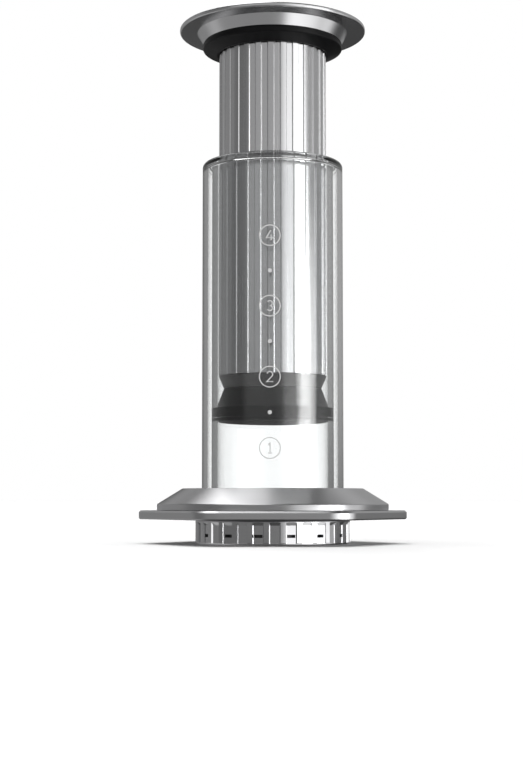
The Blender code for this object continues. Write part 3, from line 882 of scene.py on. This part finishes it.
# Grooves of the tube: their share of the pitch, the turn of the first, and steps up a side
GROOVE_SHARE = 0.58
FIRST_GROOVE = math.radians(4.5)
GROOVE_STEPS = 8
TUBE_EDGE = 0.2 * MM


class PRESS_OT_tube(bpy.types.Operator):
    """Fluted aluminium tube of the plunger"""

    bl_idname = "press.tube"
    bl_label = "Plunger tube"

    def execute(self, context):
        sizes = context.scene.press_plunger
        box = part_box("plunger_tube")
        outer = max(box[1].x, box[1].y, -box[0].x, -box[0].y)
        foot, head = box[0].z, box[1].z
        turns, depths = self.flutes(sizes, outer)

        def fluted(z, less=0.0):
            return [(*polar(outer - depth - less, turn), z) for turn, depth in zip(turns, depths)]

        bore = outer - sizes.tube_wall
        rings = [
            [(*polar(bore, turn), head) for turn in turns],
            fluted(head, TUBE_EDGE),
            fluted(head - TUBE_EDGE),
            fluted(foot + TUBE_EDGE),
            fluted(foot, TUBE_EDGE),
            [(*polar(bore, turn), foot) for turn in turns],
        ]
        shape = loft(rings, closed=True)
        aluminium = context.scene.press_finishes.aluminium
        finish = drawn_metal("tube_aluminium", aluminium, roughness=0.25)
        piece("fluted_tube", shape, "plunger", "plunger_aluminium", finish, "plunger_tube")
        return {"FINISHED"}

    @staticmethod
    def flutes(sizes, outer):
        """Angles round the tube, and how deep the surface lies at each of them."""
        pitch = TAU / sizes.flutes
        half = pitch * GROOVE_SHARE / 2
        wall = sizes.flute_wall / outer
        stations = [(0.0, 1.0), (half - wall, 1.0)]
        for step in range(1, GROOVE_STEPS + 1):
            share = step / GROOVE_STEPS
            smooth = share * share * (3 - 2 * share)
            stations.append((half - wall + wall * share, 1 - smooth))
        stations.append(((half + wall / 2 + pitch / 2) / 2, 0.0))
        stations.append((pitch / 2, 0.0))
        mirrored = [(-turn, depth) for turn, depth in reversed(stations[1:-1])]
        pattern = mirrored + stations
        turns, depths = [], []
        for index in range(sizes.flutes):
            middle = FIRST_GROOVE + pitch * index
            for turn, depth in pattern:
                turns.append(middle + turn)
                depths.append(depth * sizes.flute_depth)
        return turns, depths


# Walls of the two spigots in the tube, and the metal under the push plate's dish
SPIGOT_WALL = 3.0 * MM
DISH_FLOOR = 2.5 * MM

# Roundings of the push plate and of both spigots
DISH_CORNER = 0.8 * MM
DISH_LIP = 0.4 * MM
DISC_EDGE = 0.7 * MM
HUB_CORNER = 0.35 * MM
HUB_EDGE = 0.25 * MM
SPIGOT_TIP = 0.8 * MM
SPIGOT_MOUTH = 0.3 * MM
SPIGOT_CORNER = 0.5 * MM


class PRESS_OT_push_plate(bpy.types.Operator):
    """Round aluminium push plate with its coned hub and spigot"""

    bl_idname = "press.push_plate"
    bl_label = "Plunger cap"

    def execute(self, context):
        sizes = context.scene.press_plunger
        hub_level = top("bumper_ring") + SEAT_GAP
        disc_top = top("plunger_cap") - hub_level
        hub_top = disc_top - sizes.disc_thickness
        foot = low("plunger_cap") - hub_level
        hub = reach("bumper_ring") - sizes.hub_step
        spigot = reach("upper_tube_seal") - SEAT_GAP
        bore = spigot - SPIGOT_WALL
        dish = disc_top - sizes.dish_depth
        corners = [
            (0, dish, 0),
            (sizes.dish - sizes.dish_depth, dish, DISH_CORNER),
            (sizes.dish, disc_top, DISH_LIP),
            (reach("plunger_cap"), disc_top, DISC_EDGE),
            (reach("plunger_cap"), hub_top, DISC_EDGE),
            (hub + sizes.hub_flare, hub_top, HUB_CORNER),
            (hub, 0, HUB_EDGE),
            (spigot, 0, 0),
            (spigot, foot, SPIGOT_TIP),
            (bore, foot, SPIGOT_MOUTH),
            (bore, dish - DISH_FLOOR, SPIGOT_CORNER),
            (0, dish - DISH_FLOOR, 0),
        ]
        shape = turned(corners, hub_level, closed=False, around=2 * ROUND)
        aluminium = context.scene.press_finishes.aluminium
        finish = turned_metal("cap_aluminium", aluminium, roughness=0.24, anisotropic=0.35)
        piece("push_plate", shape, "plunger", "plunger_aluminium", finish, "plunger_cap")
        return {"FINISHED"}


# Bumper's flat underside inside its cone, and its roundings
BUMPER_LAND = 0.9 * MM
BUMPER_EDGE = 0.7 * MM
BUMPER_SHOULDER = 0.9 * MM
BUMPER_TOE = 0.3 * MM
BUMPER_BORE_EDGE = 0.1 * MM


class PRESS_OT_bumper(bpy.types.Operator):
    """Black silicone ring under the hub"""

    bl_idname = "press.bumper"
    bl_label = "Bumper ring"

    def execute(self, context):
        sizes = context.scene.press_plunger
        foot = low("bumper_ring")
        height = top("bumper_ring") - foot
        outer = reach("bumper_ring")
        bore = reach("plunger_tube") + FIT_GAP
        corners = [
            (bore, height, 0),
            (outer, height, BUMPER_EDGE),
            (outer, sizes.bumper_drop, BUMPER_SHOULDER),
            (bore + BUMPER_LAND, 0, BUMPER_TOE),
            (bore, 0, BUMPER_BORE_EDGE),
        ]
        shape = turned(corners, foot)
        silicone = context.scene.press_finishes.silicone
        finish = moulded("bumper_silicone", silicone, roughness=0.35, specular_ior_level=0.17)
        piece("bumper", shape, "plunger", "bumper_silicone", finish, "bumper_ring")
        return {"FINISHED"}


# Fit of the seal: the solid's play in the bore, and how far the band is pressed into the glass
SEAL_PLAY = 0.2 * MM
SEAL_PRESS = 0.03 * MM

# Seal's crown under the band, the level of the holder's head in it, and the lip over the head
SEAL_CROWN = 1.0 * MM
SEAL_FLOOR = 4.4 * MM
SEAL_LIP = 3.4 * MM

# Holder's neck and head inside the seal, measured in from the waist
NECK_DEPTH = 6.3 * MM
HEAD_DEPTH = 1.8 * MM

# Band that wipes the glass: how far its face starts under the cone, how far the cone's foot lies
# in, and the levels over the crown and the depth of the groove between its two lips
BAND_BREAK = 1.5 * MM
BAND_DRAFT = 0.15 * MM
GROOVE_TOP = 2.3 * MM
GROOVE_LEVEL = 2.0 * MM
GROOVE_FOOT = 1.7 * MM
GROOVE_DEPTH = 0.1 * MM

# Crown's shape: shares of the radius, and shares of the crown's height there
CROWN_SHARES = ((0.8, 0.64), (0.5, 0.25))

# Roundings of the seal
BAND_EDGE = 0.5 * MM
GROOVE_EDGE = 0.1 * MM
CROWN_EDGE = 0.6 * MM


def waist_radius(sizes):
    """Radius where the seal and the holder's collar meet."""
    return reach("plunger_seal") + SEAL_PLAY - sizes.waist


class PRESS_OT_seal(bpy.types.Operator):
    """Rubber piston that wipes the glass"""

    bl_idname = "press.seal"
    bl_label = "Plunger seal"

    def execute(self, context):
        sizes = context.scene.press_plunger
        foot = low("plunger_seal")
        band_top = SEAL_CROWN + sizes.seal_band
        height = top("plunger_seal") - foot
        outer = context.scene.press_chamber.bore + SEAL_PRESS
        waist = waist_radius(sizes)
        neck = waist - NECK_DEPTH + FIT_GAP
        head = waist - HEAD_DEPTH + FIT_GAP
        lip = height - SEAL_LIP
        corners = [
            (0, SEAL_FLOOR, 0),
            (head, SEAL_FLOOR, 0),
            (head, lip, 0),
            (neck, lip, 0),
            (neck, height, 0),
            (waist, height, BAND_EDGE),
            (outer - BAND_DRAFT, band_top, BAND_EDGE),
            (outer, band_top - BAND_BREAK, BAND_EDGE),
            (outer, SEAL_CROWN + GROOVE_TOP, GROOVE_EDGE),
            (outer - GROOVE_DEPTH, SEAL_CROWN + GROOVE_LEVEL, GROOVE_EDGE),
            (outer, SEAL_CROWN + GROOVE_FOOT, GROOVE_EDGE),
            (outer, SEAL_CROWN, CROWN_EDGE),
            *((outer * across, SEAL_CROWN * up, 0) for across, up in CROWN_SHARES),
            (0, 0, 0),
        ]
        shape = turned(corners, foot, closed=False)
        rubber = context.scene.press_finishes.rubber
        finish = moulded("seal_rubber", rubber, roughness=0.55, specular_ior_level=0.25)
        piece("seal", shape, "plunger", "seal_rubber", finish, "plunger_seal")
        return {"FINISHED"}


# Hollow of the holder: the wall round it in the neck, and the floor under it
CORE_WALL = 5.5 * MM
HOLDER_FLOOR = 3.0 * MM

# Roundings of the holder
HEAD_EDGE = 1.2 * MM
COLLAR_EDGE = 0.35 * MM
COLLAR_FOOT_EDGE = 0.3 * MM


class PRESS_OT_holder(bpy.types.Operator):
    """Grey holder: head inside the seal, neck, visible collar and spigot"""

    bl_idname = "press.holder"
    bl_label = "Seal holder"

    def execute(self, context):
        sizes = context.scene.press_plunger
        collar_foot = top("plunger_seal") + SEAT_GAP
        collar_top = collar_foot + sizes.collar
        tip = top("seal_holder")
        waist = waist_radius(sizes)
        neck = waist - NECK_DEPTH
        head = waist - HEAD_DEPTH
        head_foot = low("plunger_seal") + SEAL_FLOOR + SEAT_GAP
        head_top = top("plunger_seal") - SEAL_LIP - SEAT_GAP
        spigot = reach("lower_tube_seal") - SEAT_GAP
        bore = spigot - SPIGOT_WALL
        core = neck - CORE_WALL
        corners = [
            (0, head_foot + HOLDER_FLOOR, 0),
            (core, head_foot + HOLDER_FLOOR, SPIGOT_CORNER),
            (core, collar_foot + HOLDER_FLOOR, 0),
            (bore, collar_foot + HOLDER_FLOOR, SPIGOT_CORNER),
            (bore, tip, SPIGOT_MOUTH),
            (spigot, tip, SPIGOT_TIP),
            (spigot, collar_top, 0),
            (reach("seal_holder"), collar_top, COLLAR_EDGE),
            (waist, collar_foot, COLLAR_FOOT_EDGE),
            (neck, collar_foot, 0),
            (neck, head_top, 0),
            (head, head_top, HEAD_EDGE),
            (head, head_foot, HEAD_EDGE),
            (0, head_foot, 0),
        ]
        shape = turned(corners, closed=False)
        finish = moulded("holder_polymer", context.scene.press_finishes.collar, roughness=0.36)
        piece("holder", shape, "plunger", "holder_polymer", finish, "seal_holder")
        return {"FINISHED"}


# Room for the seal's pressed band in the lock ring, and how near the bore's radius a point counts
# as one of the bore's
BAND_ROOM = 0.15 * MM
BORE_REACH = 0.05 * MM


class PRESS_OT_lock_ring(bpy.types.Operator):
    """Lock ring with room for the seal's lips at the end of the stroke"""

    bl_idname = "press.lock_ring"
    bl_label = "Lock ring"

    def execute(self, context):
        bore = context.scene.press_chamber.bore
        node = NODES["lock_ring"]
        shape = bmesh.new()
        shape.from_mesh(node.data)
        shape.transform(node.matrix_world)
        for vert in shape.verts:
            radius = math.hypot(vert.co.x, vert.co.y)
            if radius < bore + BORE_REACH:
                wider = (bore + BAND_ROOM) / radius
                vert.co.x *= wider
                vert.co.y *= wider
        finish = moulded("ring_polymer", context.scene.press_finishes.polymer, roughness=0.2)
        piece("threaded_ring", shape, "chamber", "lock_polymer", finish, "lock_ring")
        return {"FINISHED"}


class PRESS_OT_inner_pieces(bpy.types.Operator):
    """Finishes of the pieces that the frame already has in their true shape"""

    bl_idname = "press.inner_pieces"
    bl_label = "Rings, gaskets and paper"

    def execute(self, context):
        finishes = context.scene.press_finishes
        polymer = moulded("liner_polymer", finishes.polymer, roughness=0.2)
        rubber = moulded("cord_rubber", finishes.rubber, roughness=0.5)
        gasket = moulded("clear_silicone", finishes.gasket, roughness=0.5, transmission_weight=0.25)
        for names, finish in (
            (("cap_liner",), polymer),
            (("lower_tube_seal", "upper_tube_seal"), rubber),
            (("seat_gasket", "neck_gasket"), gasket),
            (("paper_filter",), fibrous("filter_paper", finishes.paper)),
        ):
            for name in names:
                materials = NODES[name].data.materials
                materials.clear()
                materials.append(finish)
        return {"FINISHED"}


# Studio


# Strengths of the light: between the panels, seen straight, seen through the glass from low down
# and from high up
BASE_LIGHT = 0.06
SEEN_LIGHT = 1.0
THROUGH_LIGHT = 1.3
HIGH_LIGHT = 0.1

# Elevations between which the light seen through the glass goes dark, in degrees
HIGH_START = 24
HIGH_END = 44

# A count of bounces under this is none
NO_BOUNCE = 0.5

# Left, right, lower and upper edge and softness in degrees, and strength
SKY_PANELS = (
    (46, 74, 0, 9, 3, 6.0),
    (46, 74, 9, 22, 3, 1.2),
    (34, 98, -8, 1, 6, 1.7),
    (10, 40, -8, 1, 8, 0.4),
    (19, 46, -8, 24, 6, 1.1),
    (-50, 18, -10, 2, 4, 0.11),
    (-50, 18, 2, 24, 4, 0.38),
    (-90, -50, -12, 24, 7, 0.11),
    (-166, -92, -12, 34, 7, 0.2),
    (-186, -146, 18, 44, 8, 0.14),
    (80, 182, 0, 46, 7, 0.3),
    (-178, -150, 43, 74, 6, 3.3),
    (140, 168, 34, 60, 8, 0.28),
    (-140, -5, 59, 100, 8, 2.3),
    (-172, -98, -58, -14, 8, 0.22),
    (-130, -50, -58, -14, 8, 0.22),
    (-50, 96, -58, -32, 8, 0.22),
    (24, 62, -58, -32, 6, 1.1),
    (62, 90, -58, -28, 8, 1.1),
    (90, 112, -58, -14, 8, 0.9),
)


class Sky(Tree):
    """World whose reflections come from soft panels, each given by its azimuth from the front,
    positive to the right, and its elevation, in degrees."""

    def __init__(self):
        world = bpy.data.worlds.new("studio")
        bpy.context.scene.world = world
        super().__init__(world)
        x, y, z = self.node("SeparateXYZ", {0: self.node("TexCoord")["Generated"]})
        self.azimuth = self.math("DEGREES", self.math("ARCTAN2", x, self.math("MULTIPLY", y, -1.0)))
        self.elevation = self.math("DEGREES", self.math("ARCSINE", z))

    def edge(self, value, start, end):
        """Smooth step from 0 to 1 between two angles."""
        inputs = {"Value": value, "From Min": start, "From Max": end}
        return self.node("MapRange", inputs, interpolation_type="SMOOTHSTEP")[0]

    def between(self, value, start, end, soft):
        """1 between two angles and 0 outside them, with soft edges."""
        rise = self.edge(value, start - soft, start + soft)
        fall = self.edge(value, end - soft, end + soft)
        return self.math("SUBTRACT", rise, fall)

    def panel(self, left, right, lower, upper, soft, strength):
        """Light of one panel."""
        sides = self.between(self.azimuth, left, right, soft)
        ends = self.between(self.elevation, lower, upper, soft)
        return self.math("MULTIPLY", self.math("MULTIPLY", sides, ends), strength)

    def mix(self, share, light, other):
        """Light that goes over to another where the share is 1."""
        return self.node("Mix", {"Factor": share, FLOAT_A: light, FLOAT_B: other})[0]

    def finish(self, light):
        """Gives the panels to reflections, plain white to what is seen straight or through the
        glass, and dark to what the glass sends high up."""
        path = self.node("LightPath")
        unreflected = self.math("LESS_THAN", path["Glossy Depth"], NO_BOUNCE)
        passing = self.math("MULTIPLY", path["Is Transmission Ray"], unreflected)
        light = self.mix(passing, light, THROUGH_LIGHT)
        refracted = self.math("GREATER_THAN", path["Transmission Depth"], NO_BOUNCE)
        high = self.edge(self.elevation, HIGH_START, HIGH_END)
        light = self.mix(self.math("MULTIPLY", refracted, high), light, HIGH_LIGHT)
        light = self.mix(path["Is Camera Ray"], light, SEEN_LIGHT)
        background = self.tree.nodes["Background"].inputs
        self.join(background["Color"], (1.0, 1.0, 1.0, 1.0))
        self.join(background["Strength"], light)


# Floor and the sun over it, whose spread is the angle that it fills in the sky
FLOOR_RADIUS = 12.0
FLOOR_SIDES = 96
SUN_POWER = 2.4
SUN_SPREAD = math.radians(75)

# Camera in the photograph's frame: the picture's height and the focal length in pixels, the
# sensor's height in millimetres, the camera's place and upward tilt, and the nearest it sees
IMAGE_HEIGHT = 762
FOCAL_PIXELS = 1576.7
SENSOR = 36.0
CAMERA_PLACE = (-5.55 * MM, -781.2 * MM, 21.75 * MM)
CAMERA_TILT = math.radians(4.29)
NEAREST = 10.0 * MM


class PRESS_OT_studio(bpy.types.Operator):
    """Pale floor, soft light and the camera"""

    bl_idname = "press.studio"
    bl_label = "Studio"

    def execute(self, context):
        self.floor(context)
        self.sky()
        self.overhead()
        self.camera()
        context.scene.view_settings.view_transform = "Standard"
        return {"FINISHED"}

    @staticmethod
    def floor(context):
        """Wide pale floor, left out of reflections so that the metal mirrors the studio only."""
        shape = bmesh.new()
        bmesh.ops.create_circle(shape, cap_ends=True, segments=FLOOR_SIDES, radius=FLOOR_RADIUS)
        made = mesh_object("floor", shape)
        finish = Surface("floor", context.scene.press_finishes.floor, roughness=0.9)
        finish.shades(finish.noise(scale=3.0), dark=0.995, light=1.005)
        made.data.materials.append(finish.material)
        made.visible_glossy = False
        made.visible_transmission = False

    @staticmethod
    def sky():
        """World with every panel."""
        sky = Sky()
        light = BASE_LIGHT
        for panel in SKY_PANELS:
            light = sky.math("ADD", light, sky.panel(*panel))
        sky.finish(light)

    @staticmethod
    def overhead():
        """Soft sun from above for the floor and the dull pieces."""
        sun = bpy.data.lights.new("overhead", "SUN")
        sun.energy = SUN_POWER
        sun.angle = SUN_SPREAD
        linked("overhead", sun).visible_glossy = False

    @staticmethod
    def camera():
        """Camera just over the floor, a little left of the press, looking slightly up."""
        camera = bpy.data.cameras.new("camera")
        camera.sensor_fit = "VERTICAL"
        camera.sensor_height = SENSOR
        camera.lens = FOCAL_PIXELS * SENSOR / IMAGE_HEIGHT
        camera.clip_start = NEAREST
        made = linked("camera", camera)
        made.location = CAMERA_PLACE
        made.rotation_euler = (math.pi / 2 + CAMERA_TILT, 0, 0)
        bpy.context.scene.camera = made


OPERATORS = (
    PRESS_OT_glass,
    PRESS_OT_scale,
    PRESS_OT_cover,
    PRESS_OT_plate,
    PRESS_OT_filter_cap,
    PRESS_OT_tube,
    PRESS_OT_push_plate,
    PRESS_OT_bumper,
    PRESS_OT_seal,
    PRESS_OT_holder,
    PRESS_OT_lock_ring,
    PRESS_OT_inner_pieces,
    PRESS_OT_studio,
)


class PRESS_PT_panel(bpy.types.Panel):
    """Sidebar panel with the pieces, their sizes and their colours"""

    bl_idname = "PRESS_PT_panel"
    bl_label = "Coffee press"
    bl_space_type = "VIEW_3D"
    bl_region_type = "UI"
    bl_category = "Press"

    def draw(self, context):
        pieces = self.layout.column(align=True)
        for operator in OPERATORS:
            pieces.operator(operator.bl_idname)
        for name, group in GROUPS.items():
            box = self.layout.box()
            for field in group.__annotations__:
                box.prop(getattr(context.scene, name), field)


CLASSES = (*GROUPS.values(), *OPERATORS, PRESS_PT_panel)


def register():
    for item in CLASSES:
        bpy.utils.register_class(item)
    for name, group in GROUPS.items():
        setattr(bpy.types.Scene, name, PointerProperty(type=group))


def unregister():
    for name in GROUPS:
        delattr(bpy.types.Scene, name)
    for item in reversed(CLASSES):
        bpy.utils.unregister_class(item)


def main():
    """Builds every piece and the studio."""
    register()
    for operator in OPERATORS:
        group, name = operator.bl_idname.split(".")
        getattr(getattr(bpy.ops, group), name)()


if __name__ == "__main__":
    main()
